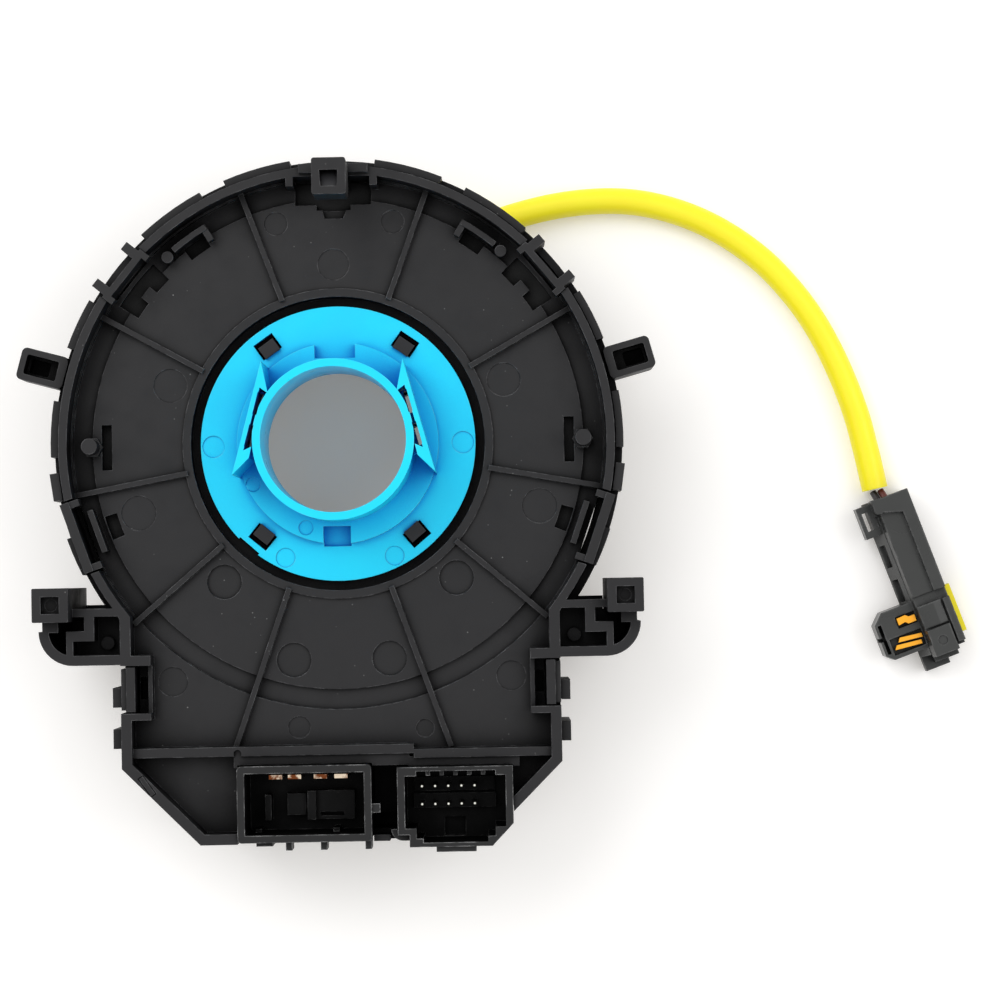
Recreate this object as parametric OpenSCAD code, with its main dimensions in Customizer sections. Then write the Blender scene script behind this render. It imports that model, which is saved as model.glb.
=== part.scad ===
// Steering clock spring, lying on the wheel side of its rotor, millimetres.
// +Z runs along the bore towards the column, +Y away from the two stator sockets.
// Angles named *_at are degrees from +Y, counted towards +X; most repeat mirrored in X.

/* [Levels] */
// Depth of the boxes and the collar in front of the rotor's face
front_h = 12; // [11:0.5:14]
// Thickness of the rotor's face
face_t = 2.4; // [2:0.1:3]
// Height of the cable chamber between the rotor's face and the rear cover
chamber_h = 10.1; // [9.6:0.1:13]
// Thickness of the rear cover's floor
floor_t = 2; // [1.8:0.1:3]
// Height of the rim above the rear cover's floor
rim_h = 5.5; // [5:0.5:8]

/* [Fits] */
// Gap between two pieces that are fixed to each other
seat = 0.1; // [0.05:0.05:0.15]
// Gap between the turning and the standing pieces
run_gap = 0.4; // [0.3:0.05:0.5]

/* [Bore and sleeve] */
// Radius of the sleeve's bore, for the steering column
bore_r = 13.5; // [12.5:0.1:14]
// Wall of the sleeve's collar
collar_wall = 1.5; // [1.2:0.1:1.8]
// Height of the collar above the sleeve's flange
collar_h = 18; // [14:0.5:22]
// Radius of the sleeve's flange
flange_r = 26.2; // [25.8:0.1:27]
// Thickness of the sleeve's flange
flange_t = 2; // [1.6:0.1:2.4]
// Radius of the raised plateau on the flange
plateau_r = 19.2; // [18.8:0.1:19.8]
// Height of the plateau above the flange
plateau_h = 2; // [1.4:0.1:2.6]
// Thickness of a cancel cam
cam_t = 1; // [0.9:0.1:1.4]

/* [Rotor] */
// Radius of the rotor's bore, for the steering wheel's boss
hub_r = 19.8; // [19.6:0.05:20]
// Wall of the rotor's hub
hub_wall = 2.2; // [2:0.1:2.4]
// Side of a drive post's round head, as a radius
post_r = 3.2; // [2.5:0.1:4]
// Distance of the drive posts from the axis
post_x = 36; // [32:0.5:40]
// Width of the box that the airbag lead leaves from
lead_box_w = 38; // [34:0.5:40]
// Depth of that box along Y
lead_box_d = 18; // [16:0.5:18]
// Wall of the boxes in front of the rotor
box_wall = 1.6; // [1.2:0.1:2]

/* [Rear cover and case] */
// Radius of the rear cover's rim
rim_r = 52.6; // [52:0.1:54]
// Wall of the rim
rim_wall = 1.6; // [1.2:0.1:1.8]
// Half width of the lower part that holds the sockets
ext_half_w = 41.5; // [41:0.5:43]
// Distance of the lower part's end from the axis
ext_end = 75.5; // [75:0.5:77]
// Cut corner of the lower part
ext_cut = 14.6; // [12:0.2:15]
// Wall of the lower part
ext_wall = 2; // [1.6:0.1:2.4]
// Wall of the front case
case_wall = 1.4; // [1.2:0.1:1.8]
// Width of a radial rib on the rear cover
rib_w = 1; // [0.8:0.1:1.4]
// Height of a radial rib above the floor
rib_h = 1.3; // [0.8:0.1:2]

/* [Sockets] */
// Width of the four-blade socket's cavity
srs_w = 22.5; // [21.5:0.1:22.5]
// Depth of the four-blade socket's cavity along Y
srs_d = 11.6; // [11:0.1:11.8]
// Wall of the four-blade socket
srs_wall = 1.4; // [1.2:0.1:1.6]
// Width of a blade
blade_w = 2.5; // [2:0.1:2.8]
// Thickness of a blade
blade_t = 0.8; // [0.6:0.1:1]
// Width of the ten-pin socket's cavity
sig_w = 19; // [18.6:0.1:19.2]
// Depth of the ten-pin socket's cavity along Y
sig_d = 13.4; // [13:0.1:13.6]
// Side wall of the ten-pin socket
sig_wall = 1.4; // [1.2:0.1:1.5]
// Pitch of the pins
pin_pitch = 2.5; // [2.2:0.1:2.7]
// Distance between the two rows of pins
pin_rows = 3.4; // [2.5:0.1:3.6]
// Side of a square pin
pin_w = 0.64; // [0.5:0.02:0.8]
// Height of the sockets' mouths above the rim
socket_rise = 1; // [0:0.5:3]

/* [Lead and plug] */
// Outer diameter of the airbag lead's tube
lead_d = 5.2; // [4.6:0.1:5.2]
// Diameter of a wire in the lead
wire_d = 1.4; // [1.2:0.1:1.4]
// Length of the squib plug
plug_len = 34; // [32:0.5:36]
// Width of the squib plug
plug_w = 8; // [7.4:0.1:8.6]
// Height of the squib plug
plug_h = 9.6; // [9:0.1:11]

/* [Hidden] */
$fn = 96;
eps = 0.01;
big = 300;

// Levels
face_z0 = front_h;
face_z1 = face_z0 + face_t;
floor_z0 = face_z1 + chamber_h;
floor_z1 = floor_z0 + floor_t;
rim_z = floor_z1 + rim_h;
spigot_h = 2.6;
counterbore_z = flange_z0_of() - spigot_h - 0.2;
flange_z0 = flange_z0_of();
flange_z1 = flange_z0 + flange_t;
plateau_z = flange_z1 + plateau_h;
collar_z0 = flange_z0 - 1;
collar_z1 = flange_z1 + collar_h;
ledge_z1 = flange_z0 - run_gap;
ledge_z0 = ledge_z1 - 1.7;
case_plate = 1.6;
joint_z = floor_z0 - seat;
skirt_z = rim_z - 2;
socket_z1 = rim_z + socket_rise;

// Radii
hub_out = hub_r + hub_wall;
hook_t = 1.6;
ledge_r = hub_out + hook_t + run_gap;
counterbore_r = hub_out - 0.9;
spigot_wall = 0.6;
opening_r = flange_r + 1.8;
land_r = opening_r + 1.6;
skirt_r0 = rim_r + 0.3;
skirt_r = skirt_r0 + case_wall;
chamber_r = rim_r - 0.4 - case_wall;
disc_r = chamber_r - run_gap;
groove_r0 = rim_r - 5.8;
groove_r1 = rim_r - 2;

// Angles of what repeats round the rim, each mirrored in X
skirt_arcs = [[8.6, 22.5], [27.8, 42.3], [59, 69.5], [80.5, 91.9], [108.6, 116.5]];
rib_at = [20.3, 60.8, 100.3, 130.6, 160.5];
latch_at = 50.8;
tab_at = 74.7;
hook_slot_at = 35;
low_latch_at = 109.2;
clip_x0 = 8.9;
window_at = [35, -35, 140, -140];

// Sockets, from the four-blade one's middle and the ten-pin one's middle
srs_x = -7.2;
srs_y = -68;
srs_half = [srs_w / 2 + srs_wall, srs_d / 2 + srs_wall];
blade_x = [-12.9, -9.3, -4.4, -0.5];
blade_y = -63.2;
sig_x = 21.2;
sig_y = -69;
sig_thin = 0.8;
sig_half = [sig_w / 2 + sig_wall, sig_d / 2 + sig_thin];
sig_step = 2.2;
sig_pin_x = 19.8;
sig_pin_y = -67.2;
socket_floor_z = face_z1 + 2.8;
socket_floor_t = 2.4;
blade_top = rim_z - 4;
pin_top = rim_z - 5;
frame_z0 = case_z() + case_plate + seat;
frame_z1 = socket_floor_z - seat;

// Front boxes
lead_box_x = 3;
lead_box_y = 36;
wheel_x = 13;
wheel_y0 = -43;
wheel_y1 = -29;
wheel_pin_pitch = 2.5;

// Gate through which the ribbon leaves the chamber
gate_z0 = face_z1 + 0.6;
gate_z1 = joint_z - 2;
gate_a = 6;

// The lead's route from inside its box to the plug, and the two wires that go on
lead_route = [
  [15, 36.9, 5], [22, 40.3, 4.8], [28, 43.1, 3.8], [34, 45.5, 2.8], [43, 47.6, 2.6],
  [52, 48.4, 2.6], [60, 47.8, 2.6], [68, 45.6, 2.6], [75.5, 42, 2.6], [83, 36.6, 2.6],
  [89, 30.3, 2.6], [94, 23.2, 2.6], [98.2, 14.8, 2.6], [101.6, 5.6, 2.6], [103.6, -2.4, 2.6], [105.2, -10, 2.6]
];
lead_end = lead_route[len(lead_route) - 1];
wire_1_route = [[104.7, -10.6, 3.1], [105.5, -12.1, 3.7], [106.6, -14.6, 4.2]];
wire_2_route = [[106.2, -10.3, 2.9], [106.9, -11.6, 3.6], [108, -14.1, 4.2]];

// The plug's rear end and the way it points, in degrees from +X
plug_pos = [106.8, -11.3, 0];
plug_turn = -70;

function case_z() = front_h;
function flange_z0_of() = front_h + face_t + chamber_h - 0.5;
function polar(a, r) = [r * sin(a), r * cos(a)];

// Helpers

module slab(z0, z1) translate([0, 0, z0]) linear_extrude(z1 - z0) children();

module at(a, r = 0) rotate([0, 0, -a]) translate([0, r, 0]) children();

module both() {
  children();
  mirror([1, 0, 0]) children();
}

module block(x0, x1, y0, y1, z0, z1) translate([x0, y0, z0]) cube([x1 - x0, y1 - y0, z1 - z0]);

module annulus(r1, r0) difference() {
  circle(r1);
  circle(r0);
}

// A flat ring between two radii, kept only from angle a0 to a1
module arc(r1, r0, a0, a1) intersection() {
  annulus(r1, r0);
  polygon([[0, 0], polar(a0, 2 * r1), polar((a0 + a1) / 2, 2 * r1), polar(a1, 2 * r1)]);
}

// A rectangle with rounded corners, from circles and squares
module rounded(x0, x1, y0, y1, r) {
  translate([x0 + r, y0]) square([x1 - x0 - 2 * r, y1 - y0]);
  translate([x0, y0 + r]) square([x1 - x0, y1 - y0 - 2 * r]);
  for (x = [x0 + r, x1 - r], y = [y0 + r, y1 - r]) translate([x, y]) circle(r, $fn = 32);
}

// A tube of n sides swept along route points, closed at both ends
function tangent(p, i) = let(a = p[max(i - 1, 0)], b = p[min(i + 1, len(p) - 1)]) (b - a) / norm(b - a);
function side_of(t) = let(s = cross([0, 0, 1], t)) s / norm(s);
function ring_at(p, i, r, n) = let(t = tangent(p, i), s = side_of(t), u = cross(t, s))
  [for (k = [0 : n - 1]) p[i] + r * (cos(360 * k / n) * s + sin(360 * k / n) * u)];

module tube(p, d, n) {
  m = len(p);
  points = [for (i = [0 : m - 1]) each ring_at(p, i, d / 2, n)];
  sides = [for (i = [0 : m - 2], k = [0 : n - 1])
    [i * n + k, i * n + (k + 1) % n, (i + 1) * n + (k + 1) % n, (i + 1) * n + k]];
  start = [for (k = [n - 1 : -1 : 0]) k];
  end = [for (k = [0 : n - 1]) (m - 1) * n + k];
  polyhedron(points, concat([start, end], sides));
}

// Outline shared by the rear cover and the front case

module outline(inset_r = 0, inset_ext = 0) {
  w = ext_half_w - inset_ext;
  e = ext_end - inset_ext;
  c = ext_cut - inset_ext * 0.6;
  neck = [ext_half_w + 3.6 - inset_ext, -25.2 + inset_ext * 0.4];
  circle(rim_r - inset_r);
  polygon([
    neck, [w, -32.8 + inset_ext * 0.4], [w, c - e], [w - c, -e],
    [c - w, -e], [-w, c - e], [-w, -32.8 + inset_ext * 0.4], [-neck[0], neck[1]]
  ]);
}

module wall_2d() difference() {
  outline();
  outline(rim_wall, ext_wall);
}

// Room for the two sockets, open at the lower end
module socket_bays(z) {
  block(srs_x - srs_half[0] - seat, srs_x + srs_half[0] + seat, -big, srs_y + srs_half[1] + seat, z, big);
  block(sig_x - sig_half[0] - seat, sig_x + sig_half[0] + seat, -big, sig_y + sig_half[1] + seat, z, big);
}

// Gap in the cover between the sockets
module socket_gap() {
  block(srs_x, sig_x, -big, sig_y + sig_half[1] + seat, floor_z0 - 1, big);
}

// Shallow round marks of the mould on the rear cover: x, y, radius and depth
mould_marks = [
  [11.15, 42.2, 2.2, 0.2], [31.8, 11.6, 3.2, 0.2], [46.4, 14.5, 1.25, 0.2], [48.3, -5, 1.3, 0.2],
  [38.2, -12.6, 3.3, 0.2], [22.1, -26, 3.3, 0.6], [9.1, -41.1, 3.3, 0.5], [32.2, -44.8, 2.8, 0.2]
];

module marks() {
  both() for (m = mould_marks) translate([m[0], m[1], floor_z1 - m[3]]) cylinder(r = m[2], h = 1, $fn = 48);
  translate([-0.3, 34.2, floor_z1 - 0.2]) cylinder(r = 3, h = 1, $fn = 48);
  translate([-8.3, -53.9, floor_z1 - 0.2]) cylinder(r = 2.1, h = 1, $fn = 48);
  translate([15.6, -54.5, floor_z1 - 0.2]) cylinder(r = 1.7, h = 1, $fn = 48);
  translate([-0.5, -48.6, floor_z1 - 0.4]) cylinder(r = 1.5, h = 1, $fn = 48);
}

// Rear cover

module cover_floor() difference() {
  slab(floor_z0, floor_z1) outline();
  slab(floor_z1 - 1, floor_z1 + 1) annulus(groove_r1, groove_r0);
  slab(floor_z0 - 1, floor_z1 + 1) circle(opening_r);
  marks();
}

module cover_ribs() {
  both() for (a = rib_at) at(a, land_r - 0.5)
    translate([-rib_w / 2, 0, floor_z1 - 1.2]) cube([rib_w, rib_reach(a) - land_r + 0.5, rib_h + 1.2]);
  block(-ext_half_w + 1, 13.5, -59, -57.2, floor_z1 - eps, rim_z - 1.5);
  block(13.5, ext_half_w - 1, -59.9, -58.2, floor_z1 - eps, rim_z - 1.5);
  // Shelf between that rib and the sockets
  block(-20.6, 12.6, -61.2, -58.8, floor_z1 - eps, rim_z - 2.2);
  block(12.4, 33.4, -61.8, -59.6, floor_z1 - eps, rim_z - 2.2);
}

// A rib ends in the rim, or in the straight rib above the sockets
function rib_reach(a) = a > 150 ? 58 / cos(180 - a) : rim_r - 0.8;

module hub_land() {
  slab(ledge_z0, floor_z1 + 0.6) annulus(land_r, opening_r);
  slab(ledge_z0, ledge_z1) annulus(land_r, ledge_r);
}

// The tall catch at the top of the rim, with its head over a window in the floor
module top_hook() at(0, rim_r) {
  block(-2.7, 2.7, -4.2, -0.2, floor_z0, rim_z + 8);
  difference() {
    slab(rim_z + 6, rim_z + 14) rounded(-3.05, 3.3, -7.4, -0.6, 0.5);
    slab(rim_z + 10.8, rim_z + 15) polygon([[-1.6, -2.9], [1.8, -2.9], [1.6, -5.9], [-1.35, -5.9]]);
  }
  block(-6.3, 6.8, -1.6, 0.1, floor_z0, rim_z + 1);
  block(-7.6, 7.8, -2.2, -1.4, floor_z0, rim_z);
  for (x = [-8.8, 7.1]) block(x, x + 1.4, -4, -1.4, floor_z1 - 1, rim_z);
}

module top_window() at(0, rim_r) {
  block(-7.4, -2.9, -7, -2.2, floor_z0 - 1, rim_z + 5);
  block(2.9, 7.1, -7, -2.2, floor_z0 - 1, rim_z + 5);
  block(-3.3, 3.2, -8, -4.4, floor_z0 - 1, rim_z + 5);
  slab(floor_z1 - 1.2, rim_z) polygon([[-2.2, -7.9], [2.4, -7.9], [1.7, -9.6], [-1.8, -9.6]]);
}

// Round post beside a slot, at the middle of each side
module side_post() {
  translate([rim_r - 6, 0, floor_z1 - 1.2]) cylinder(r = 1.5, h = rim_h + 2.4, $fn = 32);
  translate([rim_r - 6, 0, floor_z1 - 1.2]) cylinder(r = 2, h = 3.4, $fn = 6);
}

// Hook plate beside a slot, with a round stop
module rim_ledge() {
  slab(floor_z1 - 1.3, floor_z1 + 3) arc(rim_r - 3.9, rim_r - 5, 30.4, 39.4);
  at(30.9, rim_r - 5.6) block(-0.6, 0.6, -1.6, 1.7, floor_z1 - 1.2, floor_z1 + 2.8);
  at(41.4, rim_r - 4.7) translate([0, 0, floor_z1 - 1.3]) cylinder(r = 1.1, h = 4, $fn = 32);
}

module rim_slots() {
  difference() {
    slab(floor_z0 - 1, floor_z1 + 3) arc(rim_r - 3.2, rim_r - 7.6, latch_at - 6, latch_at + 6);
    at(latch_at, rim_r - 8) block(-1.3, 1.3, -1, 2.2, floor_z0 - 2, floor_z1 + 4);
  }
  at(latch_at) block(-5.9, 5.9, rim_r - 2.4, rim_r + 3, floor_z0 - 1, big);
  slab(floor_z0 - 1, floor_z1 + 1) arc(rim_r - 5.1, rim_r - 7.8, 31.8, 37.5);
  block(rim_r - 9.5, rim_r - 7.6, -4.3, 4.3, floor_z0 - 1, floor_z1 + 1);
  at(low_latch_at) block(-7.3, 7.3, rim_r - 2.3, rim_r + 3, floor_z0 - 1, big);
  slab(floor_z0 - 1, floor_z1 + 1) arc(rim_r - 6, rim_r - 8.4, low_latch_at - 2.8, low_latch_at + 3);
  block(ext_half_w - 3, ext_half_w + 1, -50.5, -41.5, floor_z0 - 1, big);
  block(ext_half_w - 4.9, ext_half_w - 3.1, -48, -43.8, floor_z0 - 1, big);
}

module latch_bracket() {
  block(ext_half_w - 5.7, ext_half_w - 1, -41.5, -39.6, floor_z1 - eps, rim_z);
  block(ext_half_w - 5.7, ext_half_w - 1, -51.8, -50.5, floor_z1 - eps, rim_z);
  block(ext_half_w - 5.7, ext_half_w - 4.9, -50.6, -40.5, floor_z1 - eps, floor_z1 + 2.5);
  // Lip that the low loop snaps over
  at(low_latch_at, rim_r) block(-4.2, 4.2, -4.7, -3.6, floor_z1 - 1.3, floor_z1 + 3);
}

// Side bracket: a stepped web, a foot bar, a quarter-round arm and the clip block at its end
module side_bracket() translate([ext_half_w, 0, 0]) {
  slab(floor_z0, floor_z1) polygon([[-0.9, -31], [5.5, -31], [5.5, -36], [9.5, -36], [9.5, -40.5], [-0.9, -40.5]]);
  slab(floor_z0, rim_z) {
    translate([-0.9, -32.1]) square([10.2, 1.5]);
    translate([4.8, -36.7]) square([1.9, 6]);
    translate([4.8, -36.7]) square([5.3, 1.9]);
    translate([8.8, -40]) square([1.3, 4]);
    translate([-0.9, -41.3]) square([9.8, 1.9]);
    bracket_arc();
    translate([11.6, -35]) square([3, 2.2]);
  }
  translate([2.8, -37.2, floor_z1 - eps]) cylinder(r = 1.25, h = 1.2, $fn = 32);
  clip_block();
}

module bracket_arc() translate([8.8, -34.8]) intersection() {
  annulus(6.5, 4.6);
  translate([-eps, -7]) square([7, 7]);
}

module clip_block() difference() {
  slab(floor_z0, rim_z + 5.5) rounded(clip_x0, clip_x0 + 6.8, -33, -26.6, 0.3);
  block(clip_x0 + 1.7, clip_x0 + 5.1, -31.4, -28.2, rim_z + 3.9, rim_z + 6);
  translate([clip_x0 + 3.4, -29.8, rim_z + 3.6]) cylinder(r = 1.1, h = 1, $fn = 32);
  block(clip_x0 + 1.4, clip_x0 + 5.4, -31.6, -28, floor_z0 - 1, rim_z + 1.5);
}

module rear_cover() color("#2e2e30") difference() {
  union() {
    cover_floor();
    slab(floor_z0, rim_z) wall_2d();
    cover_ribs();
    hub_land();
    top_hook();
    both() {
      side_post();
      rim_ledge();
      latch_bracket();
      side_bracket();
    }
  }
  top_window();
  both() rim_slots();
  socket_bays(floor_z0 - 1);
  socket_gap();
  // Dimple in the rib, and the outline of an insert of the mould on the slanted wall
  translate([-19.8, -58.5, rim_z - 2.2]) cylinder(r = 0.75, h = 3, $fn = 32);
  translate([-36.8, -64.2, rim_z - 0.25]) rotate([0, 0, -55]) slab(0, 1) difference() {
    square([4.4, 1.3], center = true);
    square([4, 0.9], center = true);
  }
}

// Front case: the outer shell that the rear cover snaps into

module case_ring() {
  slab(case_z(), case_z() + case_plate) annulus(skirt_r, chamber_r);
  slab(case_z(), joint_z) annulus(skirt_r, skirt_r0);
  slab(case_z(), joint_z) annulus(chamber_r + case_wall, chamber_r);
  both() for (s = skirt_arcs) slab(joint_z - 1, skirt_z) arc(skirt_r, skirt_r0, s[0], s[1]);
}

module case_box() {
  slab(case_z(), case_z() + case_plate) difference() {
    outline();
    circle(chamber_r + 0.5);
  }
  difference() {
    slab(case_z(), joint_z) wall_2d();
    slab(case_z() - 1, joint_z + 1) circle(chamber_r + 0.5);
  }
  // Lip between the sockets
  block(srs_x + srs_half[0] + 0.2, sig_x - sig_half[0] - 1.6, -ext_end, 1.2 - ext_end, joint_z - 1, rim_z - 2.5);
}

// Staple-shaped loops that spring over the rear cover's catches
module rim_loops() {
  at(latch_at, 0) {
    slab(joint_z - 1, rim_z + 0.5) for (x = [-5.3, 3.5]) translate([x, rim_r - 2.1]) square([1.8, skirt_r - rim_r + 2.4]);
    slab(floor_z1 + 1.2, rim_z + 0.5) translate([-5.3, rim_r - 2.1]) square([10.6, 1.3]);
    slab(floor_z1 + 3, rim_z + 0.5) for (x = [-5.8, 4.6]) translate([x, rim_r - 3.1]) square([1.2, 2.3]);
  }
}

module low_loops() {
  at(low_latch_at, 0) {
    slab(joint_z - 1.4, rim_z) translate([-6.9, rim_r - 1.2]) square([13.8, 1.8]);
    slab(floor_z1 + 0.8, rim_z - 0.3) for (x = [-6.9, 5.6]) translate([x, rim_r - 3]) square([1.3, 2]);
  }
  at(98, 0) block(-2.6, 2.6, skirt_r0, skirt_r + 0.3, joint_z - 2, rim_z - 1);
}

module side_loop() {
  block(ext_half_w - 1.1, ext_half_w, -49.9, -42.1, joint_z - 1, rim_z - 1);
  block(ext_half_w - 2.7, ext_half_w - 1, -50.2, -41.8, floor_z1 + 1.2, rim_z - 0.3);
}

module grip_teeth() {
  for (y = [-49.4, -57.2]) {
    block(ext_half_w - 0.5, ext_half_w + 1.8, y, y + 3.7, case_z() + 1, joint_z);
    block(ext_half_w + seat, ext_half_w + 1.8, y, y + 3.7, joint_z - 1, rim_z - 2.5);
  }
}

module side_tab() at(tab_at, 0) difference() {
  slab(joint_z - 4, joint_z + 5) rounded(-3.1, 3.1, skirt_r - 1, skirt_r + 8, 1);
  slab(joint_z + 1, joint_z + 6) rounded(-1.9, 1.9, skirt_r + 0.6, skirt_r + 6.8, 0.4);
  slab(joint_z - 2.6, joint_z + 6) rounded(-1.4, 1.4, skirt_r + 2.6, skirt_r + 6.4, 0.4);
}

// Foot of the side bracket, below the rear cover's
module bracket_foot() translate([ext_half_w, 0, 0]) {
  slab(case_z(), case_z() + case_plate) bracket_plate();
  slab(case_z(), joint_z) {
    bracket_arc();
    translate([-1, -41.3]) square([9.8, 1.9]);
    translate([11.6, -35]) square([3, 2.2]);
    difference() {
      translate([clip_x0, -33]) square([6.8, 6.4]);
      translate([clip_x0 + 1.4, -31.6]) square([4, 3.6]);
    }
  }
}

module bracket_plate() {
  translate([-1, -41.3]) square([9.8, 11.3]);
  translate([8.7, -35]) square([6.6, 2.4]);
  translate([8.8, -34.8]) intersection() {
    circle(6.5);
    translate([-eps, -7]) square([7, 7.1]);
  }
}

module front_case() color("#262628") difference() {
  union() {
    case_ring();
    case_box();
    both() {
      rim_loops();
      low_loops();
      side_loop();
      grip_teeth();
      side_tab();
      bracket_foot();
    }
  }
  slab(gate_z0, gate_z1) arc(skirt_r + 1, chamber_r - 1, 180 - gate_a, 180 + gate_a);
  socket_bays(socket_floor_z - seat);
}

// Cable chamber

module rear_slip_sheet() color("#d8d8d0") slab(floor_z0 - 0.3, floor_z0 - 0.1) annulus(chamber_r - 0.6, land_r + 0.3);

module front_slip_sheet() color("#d8d8d0") slab(face_z1 + 0.05, face_z1 + 0.25) annulus(chamber_r - 0.6, hub_out + 0.3);

cable_turns = 6;
cable_t = 0.3;
cable_steps = 18;
function cable_r(a) = hub_out + 0.3 + (chamber_r - hub_out - 0.9) * a / (360 * cable_turns);
function cable_edge(off) = [for (k = [0 : cable_turns * cable_steps])
  let(a = 360 * k / cable_steps) polar(a + 180, cable_r(a) + off)];
function reversed(p) = [for (i = [len(p) - 1 : -1 : 0]) p[i]];

// Ribbon of conductors, wound loosely from the hub out to the case
module flat_cable() color("#b87838") {
  slab(face_z1 + 0.6, ledge_z0 - 0.4) polygon(concat(cable_edge(0), reversed(cable_edge(cable_t))));
}

// Moulded strip that joins the ribbon's outer end to both sockets' terminals
module lead_frame() color("#3a3a3c") {
  difference() {
    block(blade_x[0] - 6, sig_pin_x + 7.7, sig_pin_y - 3.8, srs_y + 8.8, frame_z0, frame_z1);
    for (x = blade_x) block(x - blade_w / 2 - seat, x + blade_w / 2 + seat, blade_y - 0.6, blade_y + 0.6, frame_z1 - 1, big);
    for (i = [0 : 9]) translate(pin_place(i)) block(-0.45, 0.45, -0.45, 0.45, frame_z1 - 1, big);
  }
  block(-4.6, 4.6, -59.4, -chamber_r + 0.1, gate_z0 + seat, gate_z1 - seat);
}

// Four-blade socket

module srs_socket() color("#2a2a2c") {
  x0 = srs_x - srs_half[0];
  x1 = srs_x + srs_half[0];
  y0 = srs_y - srs_half[1];
  y1 = srs_y + srs_half[1];
  floor_top = socket_floor_z + socket_floor_t;
  difference() {
    union() {
      slab(socket_floor_z, socket_z1) rounded(x0, x1, y0, y1, 0.8);
      block(x0 + 0.5, x1 - 0.5, y1 - 1, y1 + 1.4, floor_z0 - 2.2, floor_z0 - seat);
    }
    block(x0 + srs_wall, x1 - srs_wall, y0 + srs_wall, y1 - srs_wall, floor_top, big);
    for (x = blade_x) block(x - blade_w / 2 - 0.05, x + blade_w / 2 + 0.05, blade_y - blade_t / 2 - 0.05,
      blade_y + blade_t / 2 + 0.05, 0, big);
  }
  // Pillars on the cavity's floor
  block(-15.3, -14.1, -71.7, -66.8, floor_top - eps, floor_top + 4);
  block(-11.1, -7.5, -70.8, -66.7, floor_top - eps, floor_top + 3);
  block(-7.2, -5.6, -71.7, -66.2, floor_top - eps, floor_top + 4);
  difference() {
    block(-5.7, 1.8, -71.7, -66.2, floor_top - eps, floor_top + 3);
    block(-4.8, -0.3, -71, -70.3, floor_top + 1, floor_top + 4);
  }
  // Key bars on the cavity's lower side
  for (x = [-16.4, -1.6]) block(x - 0.6, x + 0.6, y0 + srs_wall - 0.1, y0 + srs_wall + 0.7, floor_top - eps, socket_z1 - 7);
  // Pegs and a tab below, a boss towards the other socket
  for (x = [-10.3, -3.7, 4.7]) block(x - 0.6, x + 0.6, y0 - 1.6, y0 + 0.3, socket_z1 - 7, socket_z1 - 1.5);
  block(-16.5, -13.4, y0 - 0.8, y0 + 0.3, socket_z1 - 9, socket_z1 - 2);
  block(x1 - 0.3, x1 + 1.6, -69.9, -68.2, floor_z1 + 0.5, socket_z1 - 0.5);
}

module srs_blade(i) color("#d8a860") {
  x = blade_x[i - 1];
  block(x - blade_w / 2, x + blade_w / 2, blade_y - blade_t / 2, blade_y + blade_t / 2, frame_z1 - 0.8, blade_top);
}

// Ten-pin socket

function pin_place(i) = [sig_pin_x + (i % 5 - 2) * pin_pitch, sig_pin_y + (i < 5 ? pin_rows / 2 : -pin_rows / 2), 0];

module sig_outline() {
  x0 = sig_x - sig_half[0];
  x1 = sig_x + sig_half[0];
  y0 = sig_y - sig_half[1];
  y1 = sig_y + sig_half[1];
  polygon([[x0, y1], [x1, y1], [x1, y0 + 4.2], [x1 - 4, y0], [x0 + sig_step, y0], [x0 + sig_step, y0 + 2.3], [x0, y0 + 2.3]]);
}

module signal_socket() color("#2a2a2c") {
  x0 = sig_x - sig_w / 2;
  x1 = sig_x + sig_w / 2;
  y0 = sig_y - sig_d / 2;
  y1 = sig_y + sig_d / 2;
  floor_top = socket_floor_z + socket_floor_t;
  difference() {
    union() {
      slab(socket_floor_z, socket_z1) sig_outline();
      block(x0, x1, y1, y1 + 3, floor_z0 - 2.2, floor_z0 - seat);
    }
    difference() {
      block(x0, x1, y0, y1, floor_top, big);
      // Corner blocks: single above, stepped below, with the lower right one cut like the shell
      block(x0 - 1, x0 + 2.2, y1 - 0.9, y1 + 1, 0, big);
      block(x1 - 1.9, x1 + 1, y1 - 0.9, y1 + 1, 0, big);
      block(x0 - 1, x0 + 2.1, y0 - 1, y0 + 2.7, 0, big);
      block(x0, x0 + 3.4, y0 - 1, y0 + 0.8, 0, big);
      block(x1 - 2, x1 + 1, y0 - 1, y0 + 2.8, 0, big);
      block(x1 - 3.4, x1, y0 - 1, y0 + 1.1, 0, big);
      // Key ribs on the upper side
      for (i = [0 : 4]) block(15.7 + i * 2.6, 16.5 + i * 2.6, y1 - 0.9, y1 + 1, 0, socket_z1 - 1);
      // Plinths of the two rows of pins
      block(x0 + 1.5, x1 - 2.1, -66.8, -64.1, 0, floor_top + 1.2);
      block(x0 + 1.4, x1 - 1.9, -70, -67.2, 0, floor_top + 1.8);
    }
    for (i = [0 : 9]) translate(pin_place(i)) block(-pin_w / 2 - 0.03, pin_w / 2 + 0.03, -pin_w / 2 - 0.03, pin_w / 2 + 0.03, 0, big);
    block(18.9, 22.9, y0 + 0.2, y0 + 3.8, socket_floor_z + 0.8, socket_z1 - 4);
  }
  block(17.5, 25, y0 - sig_thin - 1, y0 - sig_thin + 0.3, socket_z1 - 8, socket_z1 - 0.5);
  // Curved lip outside the lower left corner
  slab(floor_z1, rim_z - 1) {
    translate([x0 - 0.5, y0 + 2.5]) intersection() {
      annulus(2.2, 1.1);
      translate([-3, -3]) square([3 + eps, 3]);
    }
    translate([x0 - 0.5, y0 + 0.3]) square([1.5, 1.1]);
  }
}

module signal_pin(i) color("#d8c088") translate(pin_place(i - 1)) {
  block(-pin_w / 2, pin_w / 2, -pin_w / 2, pin_w / 2, frame_z1 - 0.8, pin_top);
}

// Rotor

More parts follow.
